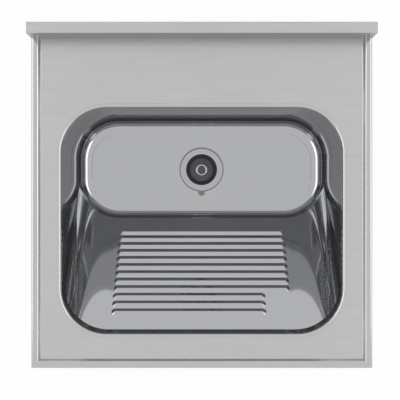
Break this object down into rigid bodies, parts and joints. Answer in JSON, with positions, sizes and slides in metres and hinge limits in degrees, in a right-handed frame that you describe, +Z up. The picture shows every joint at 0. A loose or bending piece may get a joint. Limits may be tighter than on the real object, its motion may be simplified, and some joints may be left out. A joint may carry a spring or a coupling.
{
  "type": "laundry sink",
  "caption": "Square stainless steel laundry sink: satin deck with raised bead and low splashback, deep polished bowl with a washboard ramp, and a rubber-plugged waste.",
  "frame": {"origin": "middle of the seat plane, on the underside of the return flange that rests on the cabinet", "axes": "+X along the sink to the right as seen from its front, +Y back towards the wall, +Z up"},
  "size_m": [0.6, 0.6, 0.318],
  "materials": {
    "satin_steel": "satin, fine grain along the sink's length",
    "polished_steel": "mirror polished stainless steel",
    "waste_steel": "polished stainless steel",
    "galvanised_steel": "dull galvanised",
    "sound_pad": "matt bituminous pad",
    "seal_rubber": "matt",
    "washer_fibre": "matt fibre",
    "nut_plastic": "moulded, satin",
    "plug_rubber": "smooth rubber",
    "nut_brass": "bright"
  },
  "bodies": {
    "sink": {"deck_panel": "satin_steel", "splashback": "satin_steel", "splash_cap_left": "satin_steel", "splash_cap_right": "satin_steel", "bowl": "polished_steel", "waste_body": "waste_steel", "strainer_grid": "waste_steel", "front_channel": "galvanised_steel", "rear_channel": "galvanised_steel", "bracket_front_left": "galvanised_steel", "bracket_front_right": "galvanised_steel", "bracket_rear_left": "galvanised_steel", "bracket_rear_right": "galvanised_steel", "floor_pad_left": "sound_pad", "floor_pad_right": "sound_pad", "wall_pad_left": "sound_pad", "wall_pad_right": "sound_pad", "wall_pad_rear": "sound_pad", "flange_seal": "seal_rubber", "lower_gasket": "seal_rubber", "friction_washer": "washer_fibre", "back_nut": "nut_plastic"},
    "plug_unit": {"plug": "plug_rubber", "plug_boss": "waste_steel", "plug_nut": "nut_brass"}
  },
  "joints": [
    {"name": "plug_lift", "type": "slide", "parent": "sink", "child": "plug_unit", "axis": [0, 0, 1], "range_m": [0, 0.3]}
  ]
}
